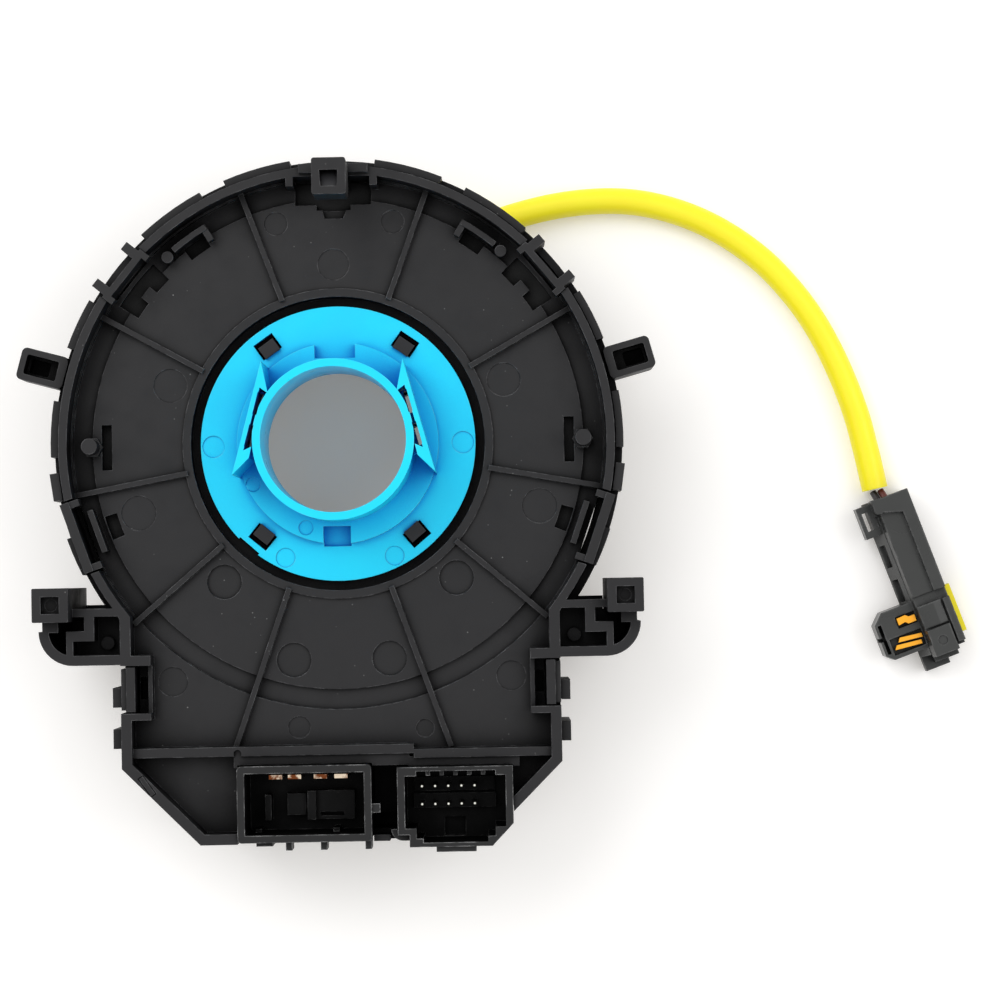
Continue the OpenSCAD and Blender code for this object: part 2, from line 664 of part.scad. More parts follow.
module lead_box_2d(inset) {
  translate([lead_box_x - lead_box_w / 2 + inset, lead_box_y - lead_box_d / 2 + inset])
    square([lead_box_w - 2 * inset, lead_box_d - 2 * inset]);
}

module sleeve_hooks(a) at(a, 0) {
  block(-1.7, 1.7, hub_out - 0.5, hub_out + hook_t - 0.4, flange_z0 - 1.9, flange_z1 + 0.8);
  block(-1.7, 1.7, hub_out - 1.2, hub_out + hook_t, flange_z1 + 0.1, flange_z1 + 0.8);
}

module rotor() color("#2c2c2e") difference() {
  union() {
    slab(face_z0, face_z1) circle(disc_r);
    slab(face_z0 - 1.6, face_z0 + eps) annulus(disc_r, disc_r - 1.5);
    slab(0, flange_z0 - seat) circle(hub_out);
    for (a = window_at) sleeve_hooks(a);
    slab(0, face_z0 + eps) difference() {
      lead_box_2d(0);
      lead_box_2d(box_wall);
    }
    for (x = [-post_x, post_x]) translate([x, 0, 0]) {
      cylinder(r1 = post_r - 0.6, r2 = post_r, h = 1);
      translate([0, 0, 1]) cylinder(r = post_r, h = face_z0);
    }
    for (a = [75, 105, 135, 225, 255, 285]) at(a, hub_out - 0.5)
      translate([-rib_w / 2, 0, face_z0 - 1.2]) cube([rib_w, disc_r - hub_out - 0.4, 1.4]);
  }
  slab(-1, big) circle(hub_r);
  slab(counterbore_z, big) circle(counterbore_r);
  translate(lead_route[1]) rotate([0, 90, 26]) cylinder(r = lead_d / 2 + 0.3, h = 9, center = true);
  block(-4, 4, -31, -25, face_z0 - 2, face_z1 + 1);
}

// Cancel sleeve

// A tall thin wall on a slanted chord, with a barb at each end that points away from it
cam_top = [13.1, 14.7];
cam_low = [18.8, -6.3];
cam_lean = atan2(cam_low[0] - cam_top[0], cam_top[1] - cam_low[1]);

module cancel_cam() {
  slab(flange_z1 - eps, collar_z1) polygon([
    cam_top, cam_low, cam_low + [-3.2, 3.1], cam_low + [-3.7, 5.2],
    cam_low + [-1.2 - cam_t, 4.5], cam_top + [1.3 - cam_t, -4.9], cam_top + [-1.2, -6]
  ]);
  slab(collar_z1 - 8, collar_z1 - 5) polygon([[12, 8.6], [13.6, 9.6], [17, -2], [14.6, -3]]);
}

// Slots between cam and collar, wide through the flange and narrow at the top
module cam_slots() {
  for (s = [[13.9, 6.9], [15.55, 0.9]]) translate([s[0], s[1], 0]) rotate([0, 0, cam_lean]) {
    translate([-0.4, -2.1, collar_z1 - 9]) cube([0.8, 4.2, big]);
    translate([-0.5, -2.1, collar_z0 - 1]) cube([1.4, 4.2, collar_z1 - 8.2 - collar_z0]);
  }
}

module cancel_sleeve() color("#1eb4f0") difference() {
  union() {
    slab(flange_z0, flange_z1) circle(flange_r);
    slab(flange_z1 - eps, plateau_z) circle(plateau_r);
    slab(collar_z0, collar_z1) circle(bore_r + collar_wall);
    slab(flange_z0 - spigot_h, flange_z0 + eps) annulus(counterbore_r - seat, counterbore_r - seat - spigot_wall);
    both() cancel_cam();
  }
  slab(-1, big) circle(bore_r);
  for (a = window_at) at(a, 22.9) block(-2.15, 2.15, -1.7, 1.7, flange_z0 - 1, flange_z1 + 1);
  block(-4.1, 3.6, 16.2, 19.6, flange_z1, plateau_z + 1);
  difference() {
    block(-3, 2.2, -19.6, -15.8, flange_z1 - 0.8, plateau_z + 1);
    translate([0, 17.6, 0]) cylinder(r = 1, h = plateau_z, $fn = 32);
  }
  both() translate([23.8, -0.2, flange_z1 - 0.2]) cylinder(r = 2.1, h = 1, $fn = 48);
  both() translate([10.4, -21.6, flange_z1 - 0.2]) cylinder(r = 1.85, h = 1, $fn = 48);
  translate([-16.2, -7.6, plateau_z - 0.2]) cylinder(r = 1.4, h = 1, $fn = 48);
  translate([-6.3, -16, plateau_z - 0.2]) cylinder(r = 1.4, h = 1, $fn = 48);
  at(222, flange_r) block(-2.4, 2.4, -0.5, 1, flange_z0 - 1, flange_z1 + 1);
  both() cam_slots();
}

// Wheel side socket, in front of the rotor's face

module wheel_socket() color("#2a2a2c") difference() {
  slab(0, face_z0 - seat) rounded(-wheel_x, wheel_x, wheel_y0, wheel_y1, 1);
  block(-wheel_x + box_wall, wheel_x - box_wall, wheel_y0 + box_wall, wheel_y1 - box_wall, -1, face_z0 - 4);
  block(-wheel_x + box_wall, wheel_x - box_wall, wheel_y0 + box_wall, wheel_y1 - box_wall, face_z0 - 2, face_z0 + 1);
  for (i = [0 : 7]) translate(wheel_pin_place(i)) block(-pin_w / 2 - 0.03, pin_w / 2 + 0.03, -pin_w / 2 - 0.03, pin_w / 2 + 0.03, -1, big);
  for (x = [-6, 6]) block(x - 1.2, x + 1.2, wheel_y0 - 1, wheel_y0 + box_wall + 1, -1, 4);
}

function wheel_pin_place(i) = [(i % 4 - 1.5) * wheel_pin_pitch, (wheel_y0 + wheel_y1) / 2 + (i < 4 ? 1.7 : -1.7), 0];

module wheel_terminal_block() color("#3a3a3c") difference() {
  block(-wheel_x + box_wall + seat, wheel_x - box_wall - seat, wheel_y0 + box_wall + seat, wheel_y1 - box_wall - seat,
    face_z0 - 2 + seat, face_z0 - seat);
  for (i = [0 : 7]) translate(wheel_pin_place(i)) block(-0.4, 0.4, -0.4, 0.4, -1, face_z0 - 0.8);
}

module wheel_pin(i) color("#d8c088") translate(wheel_pin_place(i - 1)) {
  block(-pin_w / 2, pin_w / 2, -pin_w / 2, pin_w / 2, 2.5, face_z0 - 0.9);
}

// Lid of the box that the airbag lead leaves from
module lead_cover() color("#2c2c2e") {
  slab(0.2, 0.2 + box_wall) lead_box_2d(box_wall + seat);
  for (x = [-10, 16]) block(x - 2, x + 2, lead_box_y - lead_box_d / 2 + box_wall + seat,
    lead_box_y - lead_box_d / 2 + box_wall + 1.3, 0.2, face_z0 - 2);
}

module airbag_lead() color("#ffff2a") tube(lead_route, lead_d, 12);

module lead_wire_1() color("#241a18") tube(wire_1_route, wire_d, 8);

module lead_wire_2() color("#6b2f22") tube(wire_2_route, wire_d, 8);

// Squib plug: local X runs from the wires to the front, the nose points along local -Y

module in_plug() translate(plug_pos) rotate([0, 0, plug_turn]) children();

// An outline across the plug, carried along its length from u0 to u1
module along_plug(u0, u1) translate([u0, 0, 0]) rotate([90, 0, 90]) linear_extrude(u1 - u0) children();

plug_half = plug_w / 2;
plug_split = plug_h - 2.6;

module plug_nose() difference() {
  slab(1.2, plug_split - 0.1) polygon([[21.4, -3], [21.4, -9.4], [23.4, -11.5], [29.7, -11.5], [31, -10.1], [31, -3]]);
  block(23.6, 29.6, -11, -10.3, 4.2, plug_h);
  block(26.1, 26.9, -12, -10.6, 3, plug_h);
}

module plug_body() color("#4a4a4a") in_plug() difference() {
  union() {
    along_plug(0.3, plug_len - 1.4) polygon([
      [-plug_half - 0.4, 0.4], [-plug_half - 0.9, 3], [-plug_half + 0.9, plug_split], [plug_half, plug_split], [plug_half, 0.4]
    ]);
    along_plug(0.3, 3.4) polygon([[-plug_half, 0.4], [-plug_half + 0.3, plug_split], [0, plug_split], [0, 0.4]]);
    block(plug_len - 1.5, plug_len + 1.6, -plug_half - 0.6, 0.4, 0.4, 3);
    block(plug_len - 1.5, plug_len + 0.4, -plug_half + 1.4, plug_half - 1.6, 0.4, 5.2);
    block(10, 24, -2, 2, 0, 1);
    plug_nose();
    // Latch loop beside the wires
    block(0.6, 7, -6.6, -plug_half + 0.5, 2.4, 6.2);
  }
  block(1.9, 5.7, -5.8, -4.6, 1, plug_h);
  // Slots in the slanted side
  for (u = [9.2, 16.4]) block(u, u + 4.6, -6, -plug_half + 0.3, 3.6, 5.9);
  // Windows of the nose over its contacts
  block(23.2, 25.5, -7.2, -3.2, 6.1, plug_h);
  block(26.9, 30.2, -9.8, -3.2, 6.1, plug_h);
  // Room for the lock, and for the wires
  block(20.4, 31, plug_half - 2.9, plug_half + 2, 2.2, 5.4);
  block(-1, 3.5, -2.6, 1.4, 2.6, 5.2);
}

module plug_cover() color("#505050") in_plug() difference() {
  z = plug_split + seat;
  union() {
    along_plug(0.2, plug_len - 0.8) polygon([
      [-plug_half + 1, z], [-plug_half + 1.5, plug_h], [plug_half, plug_h], [plug_half, z]
    ]);
    slab(z, plug_h) polygon([[0, -3.6], [0.6, plug_half], [4, plug_half], [4, 1.6], [3, -3.3], [2.6, -3.6]]);
  }
  // Long panel, cross band, curved panel and the square end's edge
  slab(plug_h - 0.8, big) polygon([[3, -2.1], [4.2, 1.6], [20.9, 1.6], [20.9, -3], [3.4, -3]]);
  block(20.8, 22.8, -5, 5, plug_h - 1.2, big);
  along_plug(22.7, 27.6) polygon([[-5, plug_h + 1], [-5, plug_h - 1.4], [-1.6, plug_h - 0.5], [0.6, plug_h - 0.3], [2.3, plug_h - 0.5], [2.3, plug_h + 1]]);
  block(27.4, 27.8, -5, 2.4, plug_h - 0.8, big);
  block(22.7, plug_len, 2.2, 2.6, plug_h - 0.9, big);
  block(31.9, plug_len, 2.4, 5, 0, big);
  translate([30.5, -0.2, plug_h - 0.2]) cylinder(r = 0.9, h = 1, $fn = 32);
}

// Two parallel strips, seen in the nose's long window
module plug_contact(s) color("#f0b02c") in_plug() slab(6.2, 7.2)
  translate([1.2 * s, -1.1 * s]) polygon([[27.2, -7.7], [28, -8.3], [28.6, -3.4 + s * 0.6], [27.8, -3.4 + s * 0.6]]);

module plug_shorting_clip() color("#f0b02c") in_plug() slab(6.2, 7.4)
  polygon([[23.5, -7], [24.9, -7], [24.7, -5.6], [25.2, -5.1], [25.2, -3.4], [23.9, -3.4], [23.9, -4.6], [23.4, -5.2]]);

module plug_lock() color("#ffff2a") in_plug() {
  block(20.8, 30.6, plug_half - 0.6, plug_half + 1.5, 2.6, 5);
  block(22, 29, plug_half - 1.2, plug_half, 2.6, 5);
}

rear_cover();
front_case();
rear_slip_sheet();
flat_cable();
lead_frame();
srs_socket();
srs_blade(1);  // srs_blade_1
srs_blade(2);  // srs_blade_2
srs_blade(3);  // srs_blade_3
srs_blade(4);  // srs_blade_4
signal_socket();
signal_pin(1);  // signal_pin_1
signal_pin(2);  // signal_pin_2
signal_pin(3);  // signal_pin_3
signal_pin(4);  // signal_pin_4
signal_pin(5);  // signal_pin_5
signal_pin(6);  // signal_pin_6
signal_pin(7);  // signal_pin_7
signal_pin(8);  // signal_pin_8
signal_pin(9);  // signal_pin_9
signal_pin(10);  // signal_pin_10
rotor();
front_slip_sheet();
cancel_sleeve();
wheel_socket();
wheel_terminal_block();
wheel_pin(1);  // wheel_pin_1
wheel_pin(2);  // wheel_pin_2
wheel_pin(3);  // wheel_pin_3
wheel_pin(4);  // wheel_pin_4
wheel_pin(5);  // wheel_pin_5
wheel_pin(6);  // wheel_pin_6
wheel_pin(7);  // wheel_pin_7
wheel_pin(8);  // wheel_pin_8
lead_cover();
airbag_lead();
lead_wire_1();
lead_wire_2();
plug_body();
plug_cover();
plug_contact(0);  // plug_contact_1
plug_contact(1);  // plug_contact_2
plug_shorting_clip();
plug_lock();
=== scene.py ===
"""Looks of a steering clock spring: black ribbed case, blue sleeve and a yellow lead with its plug."""

import logging
from dataclasses import dataclass, field
from enum import Enum

import bpy
from bpy.types import ID, Material, Node, NodeSocket, NodeTree, Object
from mathutils import Matrix, Vector


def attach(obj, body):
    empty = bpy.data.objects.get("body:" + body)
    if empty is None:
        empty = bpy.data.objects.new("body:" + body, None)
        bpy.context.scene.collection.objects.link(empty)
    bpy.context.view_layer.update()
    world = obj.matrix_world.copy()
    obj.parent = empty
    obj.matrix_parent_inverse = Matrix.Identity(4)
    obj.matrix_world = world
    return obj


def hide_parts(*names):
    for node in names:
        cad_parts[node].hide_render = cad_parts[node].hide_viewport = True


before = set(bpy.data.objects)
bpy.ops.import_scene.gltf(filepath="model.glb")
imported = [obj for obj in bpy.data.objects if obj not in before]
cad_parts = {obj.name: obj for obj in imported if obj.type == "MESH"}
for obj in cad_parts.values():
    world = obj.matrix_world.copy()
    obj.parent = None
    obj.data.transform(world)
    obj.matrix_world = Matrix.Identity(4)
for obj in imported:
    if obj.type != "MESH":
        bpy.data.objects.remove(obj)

LOG = logging.getLogger("clock_spring")
MM = 0.001
PER_MM = 1 / MM
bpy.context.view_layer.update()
Point = tuple[float, float, float]
Colour = tuple[float, float, float, float]


def linear(hex_colour: str) -> Colour:
    """Turns a hex sRGB colour into the linear colour that a shader's socket takes.

    Args:
        hex_colour: Six hex digits with a leading hash sign.

    Returns:
        Red, green, blue and an alpha of one, linear.
    """
    parts = [int(hex_colour[i:i + 2], 16) / 255 for i in (1, 3, 5)]
    straight = [p / 12.92 if p <= 0.04045 else ((p + 0.055) / 1.055) ** 2.4 for p in parts]
    return (straight[0], straight[1], straight[2], 1.0)


def add(tree: NodeTree, kind: str, inputs: dict | None = None, **settings: object) -> Node:
    """Adds a shader node, sets its properties and sockets, and links its inputs.

    Args:
        tree: The node tree that gets the node.
        kind: The node's type, such as ShaderNodeTexNoise.
        inputs: Input name or number to the output socket that feeds it, or to its own value.
        settings: Property or input socket names, with underscores for spaces, and their values.

    Returns:
        The new node.
    """
    node = tree.nodes.new(kind)
    for name, value in settings.items():
        if hasattr(node, name):
            setattr(node, name, value)
        else:
            node.inputs[name.replace("_", " ")].default_value = value
    for name, source in (inputs or {}).items():
        if isinstance(source, NodeSocket):
            tree.links.new(source, node.inputs[name])
        else:
            node.inputs[name].default_value = source
    return node


def blank_material(name: str) -> Material:
    """Makes a material whose node tree is empty.

    Args:
        name: The material's name.

    Returns:
        The new material.
    """
    material = bpy.data.materials.new(name)
    material.use_nodes = True
    material.node_tree.nodes.clear()
    return material


def place_in_scene(name: str, data: ID) -> Object:
    """Makes an object from its data and puts it in the scene.

    Args:
        name: The object's name.
        data: A mesh, curve, camera or lamp.

    Returns:
        The new object.
    """
    held = bpy.data.objects.new(name, data)
    bpy.context.scene.collection.objects.link(held)
    return held


# Real sizes of the patterns on moulded plastic, in millimetres
PIGMENT_CLOUD_MM = 18
FLOW_MARK_MM = 5
RUB_PATCH_MM = 2.4
SPECK_SPACING_MM = 1.7
DUSTY_AREA_MM = 9

# Dry dust on black plastic looks light grey
DUST_COLOUR = "#B4B4B2"

# Ejector pads of the rear cover that show darker: x, y and radius in millimetres
COVER_PADS = (
    (-9.1, -41.1, 3.3),
    (9.1, -41.1, 3.3),
    (-32.2, -44.8, 2.8),
    (-22.1, -26.0, 3.3),
    (15.6, -54.5, 1.7),
)
PAD_DARKNESS = 0.85


class Grain(Enum):
    """How a mould's surface was made, as the spacing of its texture in millimetres."""

    POLISHED = 1.6
    FINE_SPARK = 0.35
    COARSE_SPARK = 0.6


@dataclass(frozen=True)
class MouldedPlastic:
    """Glass-filled PBT or acetal, injection moulded: mottled, spark-eroded skin, pale edges of rubbed wear
    and painted highlight, dust, and painted shade in hollows.
    """

    name: str
    colour: str
    shade: str
    # Colour of the pale edges, partly rubbed wear and partly painted highlight
    edge_wear_and_highlight_colour: str
    roughness: float = 0.5
    grain: Grain = Grain.FINE_SPARK
    grain_depth_mm: float = 0.012
    edge_mm: float = 0.22
    edge_wear_and_highlight_strength: float = 0.35
    dust: float = 0.3
    ior: float = 1.46
    # How far the painted shade in hollows reaches, and the colour it paints there
    painted_shade_mm: float = 9.0
    painted_shade_colour: str = "#020202"
    pads: tuple[tuple[float, float, float], ...] = ()

    def build(self) -> Material:
        """Makes the material.

        Returns:
            The finished material.
        """
        material = blank_material(self.name)
        tree = material.node_tree
        place = add(tree, "ShaderNodeTexCoord").outputs["Object"]
        flow = add(tree, "ShaderNodeTexNoise", {"Vector": place},
                   Scale=PER_MM / FLOW_MARK_MM, Detail=3.0, Roughness=0.5)
        open_to_light = self.light_mask(tree)
        surface = self.surface_colour(tree, place)
        # Painted shade: deep between walls the colour turns to the painted shade colour and the shine dims
        seen = add(tree, "ShaderNodeMix", {0: open_to_light, 6: linear(self.painted_shade_colour), 7: surface},
                   data_type="RGBA")
        shine = add(tree, "ShaderNodeMath", {0: open_to_light, 1: 0.5}, operation="MULTIPLY")
        rough = add(tree, "ShaderNodeMapRange", {"Value": flow.outputs["Fac"]},
                    From_Min=0.3, From_Max=0.7, To_Min=self.roughness - 0.07, To_Max=self.roughness + 0.08)
        skin = add(tree, "ShaderNodeTexNoise", {"Vector": place},
                   Scale=PER_MM / self.grain.value, Detail=2.0)
        soft = add(tree, "ShaderNodeBevel", samples=4, Radius=self.edge_mm * MM)
        bump = add(tree, "ShaderNodeBump",
                   {"Height": skin.outputs["Fac"], "Normal": soft.outputs["Normal"]}, Strength=0.6,
                   Distance=self.grain_depth_mm * MM)
        shader = add(tree, "ShaderNodeBsdfPrincipled", {
            "Base Color": seen.outputs[2],
            "Roughness": rough.outputs["Result"],
            "Normal": bump.outputs["Normal"],
            "Specular IOR Level": shine.outputs["Value"],
        }, IOR=self.ior)
        add(tree, "ShaderNodeOutputMaterial", {"Surface": shader.outputs["BSDF"]})
        return material

    def surface_colour(self, tree: NodeTree, place: NodeSocket) -> NodeSocket:
        """Lays the mottled pigment, the dark pads, the pale edges of rubbed wear and painted highlight, and
        the dust over each other.

        Args:
            tree: The material's node tree.
            place: Object coordinates.

        Returns:
            A socket with the surface's colour in full light.
        """
        cloud = add(tree, "ShaderNodeTexNoise", {"Vector": place},
                    Scale=PER_MM / PIGMENT_CLOUD_MM, Detail=4.0, Roughness=0.6)
        tone = add(tree, "ShaderNodeMix",
                   {0: cloud.outputs["Fac"], 6: linear(self.shade), 7: linear(self.colour)},
                   data_type="RGBA")
        base = tone.outputs[2]
        if self.pads:
            dark = add(tree, "ShaderNodeMix",
                       {0: self.pad_mask(tree, place), 6: base, 7: linear(self.shade)},
                       data_type="RGBA")
            base = dark.outputs[2]
        # Pale edges: partly rubbed wear, partly painted highlight
        rubbed_and_lit = add(tree, "ShaderNodeMix",
                     {0: self.edge_wear_and_highlight_mask(tree, place), 6: base, 7: linear(self.edge_wear_and_highlight_colour)},
                     data_type="RGBA")
        dusty = add(tree, "ShaderNodeMix",
                    {0: self.speck_mask(tree, place), 6: rubbed_and_lit.outputs[2], 7: linear(DUST_COLOUR)},
                    data_type="RGBA")
        return dusty.outputs[2]

    def light_mask(self, tree: NodeTree) -> NodeSocket:
        """Finds what lies deep between walls, where painted shade darkens the colour and the shine.

        Args:
            tree: The material's node tree.

        Returns:
            A socket from 0.12, deep, to 1, open to the light.
        """
        hollow = add(tree, "ShaderNodeAmbientOcclusion", samples=6, Distance=self.painted_shade_mm * MM)
        return add(tree, "ShaderNodeMapRange", {"Value": hollow.outputs["AO"]},
                   From_Min=0.25, From_Max=0.85, To_Min=0.12, To_Max=1.0).outputs["Result"]

    def pad_mask(self, tree: NodeTree, place: NodeSocket) -> NodeSocket:
        """Finds the round pads that the mould's ejector pins press smoother and darker.

        Args:
            tree: The material's node tree.
            place: Object coordinates.

        Returns:
            A socket from 0, plain, to the pads' darkness.
        """
        level = add(tree, "ShaderNodeVectorMath", {0: place, 1: (1.0, 1.0, 0.0)}, operation="MULTIPLY")
        found = None
        for x, y, radius in self.pads:
            away = add(tree, "ShaderNodeVectorMath", {0: level.outputs["Vector"], 1: (x * MM, y * MM, 0.0)},
                       operation="DISTANCE")
            inside = add(tree, "ShaderNodeMapRange", {"Value": away.outputs["Value"]},
                         From_Min=(radius + 0.1) * MM, From_Max=(radius - 0.1) * MM,
                         To_Min=0.0, To_Max=PAD_DARKNESS).outputs["Result"]
            if found is None:
                found = inside
            else:
                most = add(tree, "ShaderNodeMath", {0: found, 1: inside}, operation="MAXIMUM")
                found = most.outputs["Value"]
        return found

    def edge_wear_and_highlight_mask(self, tree: NodeTree, place: NodeSocket) -> NodeSocket:
        """Finds pale edges, partly rubbed wear and partly painted highlight: where the rounded normal
        leaves the flat one, broken up by noise.

        Args:
            tree: The material's node tree.
            place: Object coordinates.

        Returns:
            A socket from 0, plain, to the strength of the wear and painted highlight.
        """
        soft = add(tree, "ShaderNodeBevel", samples=4, Radius=self.edge_mm * 1.3 * MM)
        flat = add(tree, "ShaderNodeNewGeometry")
        angle = add(tree, "ShaderNodeVectorMath",
                    {0: soft.outputs["Normal"], 1: flat.outputs["True Normal"]}, operation="DOT_PRODUCT")
        bend = add(tree, "ShaderNodeMapRange", {"Value": angle.outputs["Value"]},
                   From_Min=0.98, From_Max=0.75, To_Min=0.0, To_Max=1.0)
        patch = add(tree, "ShaderNodeTexNoise", {"Vector": place},
                    Scale=PER_MM / RUB_PATCH_MM, Detail=5.0, Roughness=0.7)
        broken = add(tree, "ShaderNodeMapRange", {"Value": patch.outputs["Fac"]},
                     From_Min=0.44, From_Max=0.62, To_Min=0.08, To_Max=1.0)
        both = add(tree, "ShaderNodeMath", {0: bend.outputs["Result"], 1: broken.outputs["Result"]},
                   operation="MULTIPLY")
        scaled = add(tree, "ShaderNodeMath", {0: both.outputs["Value"], 1: self.edge_wear_and_highlight_strength}, operation="MULTIPLY")
        return scaled.outputs["Value"]

    def speck_mask(self, tree: NodeTree, place: NodeSocket) -> NodeSocket:
        """Scatters dust specks about 0.2 mm wide, thicker in some places than in others.

        Args:
            tree: The material's node tree.
            place: Object coordinates.

        Returns:
            A socket from 0, clean, to the dust's strength.
        """
        cell = add(tree, "ShaderNodeTexVoronoi", {"Vector": place},
                   Scale=PER_MM / SPECK_SPACING_MM, Randomness=1.0)
        dot = add(tree, "ShaderNodeMapRange", {"Value": cell.outputs["Distance"]},
                  From_Min=0.09, From_Max=0.05, To_Min=0.0, To_Max=1.0)
        patch = add(tree, "ShaderNodeTexNoise", {"Vector": place},
                    Scale=PER_MM / DUSTY_AREA_MM, Detail=3.0, Roughness=0.7)
        where = add(tree, "ShaderNodeMapRange", {"Value": patch.outputs["Fac"]},
                    From_Min=0.52, From_Max=0.7, To_Min=0.0, To_Max=self.dust)
        both = add(tree, "ShaderNodeMath", {0: dot.outputs["Result"], 1: where.outputs["Result"]},
                   operation="MULTIPLY")
        return both.outputs["Value"]


@dataclass(frozen=True)
class VinylTube:
    """Vinyl sleeving or wire insulation, extruded: smooth and waxy, with faint handling marks."""

    name: str
    colour: str
    shade: str
    roughness: float = 0.38
    cloud_mm: float = 14
    mark_mm: float = 1.1

    def build(self) -> Material:
        """Makes the material.

        Returns:
            The finished material.
        """
        material = blank_material(self.name)
        tree = material.node_tree
        place = add(tree, "ShaderNodeTexCoord").outputs["Object"]
        cloud = add(tree, "ShaderNodeTexNoise", {"Vector": place}, Scale=PER_MM / self.cloud_mm, Detail=3.0)
        tone = add(tree, "ShaderNodeMix",
                   {0: cloud.outputs["Fac"], 6: linear(self.shade), 7: linear(self.colour)},
                   data_type="RGBA")
        marks = add(tree, "ShaderNodeTexNoise", {"Vector": place},
                    Scale=PER_MM / self.mark_mm, Detail=4.0, Roughness=0.65)
        rough = add(tree, "ShaderNodeMapRange", {"Value": marks.outputs["Fac"]},
                    From_Min=0.3, From_Max=0.7, To_Min=self.roughness - 0.06, To_Max=self.roughness + 0.1)
        bump = add(tree, "ShaderNodeBump", {"Height": marks.outputs["Fac"]},
                   Strength=0.35, Distance=0.03 * MM)
        shader = add(tree, "ShaderNodeBsdfPrincipled", {
            "Base Color": tone.outputs[2],
            "Roughness": rough.outputs["Result"],
            "Normal": bump.outputs["Normal"],
            "Subsurface Radius": (1.0, 0.8, 0.1),
        }, IOR=1.53, Subsurface_Weight=0.12, Subsurface_Scale=0.8 * MM)
        add(tree, "ShaderNodeOutputMaterial", {"Surface": shader.outputs["BSDF"]})
        return material


@dataclass(frozen=True)
class PlatedBrass:
    """Stamped brass, tin-plated or gold-flashed, with a stamping grain, painted highlights beside darker
    patches, and on pins a painted highlight on the tip over painted shade on the sides.
    """

    name: str
    colour: str
    # Darker colour: painted shade on a pin's sides, darker patches beside a blade's painted highlights
    dull_and_shaded: str
    roughness: float = 0.3
    grain_mm: float = 0.25
    contrast: float = 0.5
    # Paints a highlight on a pin's tip and shade on its sides instead of patches
    tip_light_and_shade: bool = False
    patch_mm: float = 1.5

    def build(self) -> Material:
        """Makes the material.

        Returns:
            The finished material.
        """
        material = blank_material(self.name)
        tree = material.node_tree
        place = add(tree, "ShaderNodeTexCoord").outputs["Object"]
        patch = add(tree, "ShaderNodeTexNoise", {"Vector": place}, Scale=PER_MM / self.patch_mm, Detail=4.0)
        # Painted highlight: a bright pin tip over shaded sides, or bright patches beside darker ones
        painted_highlight = self.tip_light_and_shade_mask(tree) if self.tip_light_and_shade else self.highlight_patch_mask(tree, patch.outputs["Fac"])
        tone = add(tree, "ShaderNodeMix", {0: painted_highlight, 6: linear(self.dull_and_shaded), 7: linear(self.colour)},
                   data_type="RGBA")
        lines = add(tree, "ShaderNodeTexNoise", {"Vector": place}, Scale=PER_MM / self.grain_mm, Detail=2.0)
        rough = add(tree, "ShaderNodeMapRange", {"Value": patch.outputs["Fac"]},
                    From_Min=0.3, From_Max=0.7, To_Min=self.roughness - 0.05, To_Max=self.roughness + 0.12)
        bump = add(tree, "ShaderNodeBump", {"Height": lines.outputs["Fac"]},
                   Strength=0.4, Distance=0.01 * MM)
        shader = add(tree, "ShaderNodeBsdfPrincipled", {
            "Base Color": tone.outputs[2],
            "Roughness": rough.outputs["Result"],
            "Normal": bump.outputs["Normal"],
        }, Metallic=1.0)
        add(tree, "ShaderNodeOutputMaterial", {"Surface": shader.outputs["BSDF"]})
        return material

    def highlight_patch_mask(self, tree: NodeTree, patch: NodeSocket) -> NodeSocket:
        """Parts the plating into patches of painted highlight and darker patches.

        Args:
            tree: The material's node tree.
            patch: Noise from 0 to 1.

        Returns:
            A socket from 0, darker, to 1, painted highlight.
        """
        return add(tree, "ShaderNodeMapRange", {"Value": patch}, From_Min=0.5 - self.contrast / 2,
                   From_Max=0.5 + self.contrast / 2).outputs["Result"]

    def tip_light_and_shade_mask(self, tree: NodeTree) -> NodeSocket:
        """Finds the flat end of a pin's coined tip, which gets a painted highlight, while its sides get
        painted shade down in the socket.

        Args:
            tree: The material's node tree.

        Returns:
            A socket with 1 round the pin's axis and 0 on its sides.
        """
        inside = add(tree, "ShaderNodeTexCoord").outputs["Generated"]
        level = add(tree, "ShaderNodeVectorMath", {0: inside, 1: (1.0, 1.0, 0.0)}, operation="MULTIPLY")
        away = add(tree, "ShaderNodeVectorMath", {0: level.outputs["Vector"], 1: (0.5, 0.5, 0.0)},
                   operation="DISTANCE")
        return add(tree, "ShaderNodeMapRange", {"Value": away.outputs["Value"]},
                   From_Min=0.36, From_Max=0.26, To_Min=0.0, To_Max=1.0).outputs["Result"]


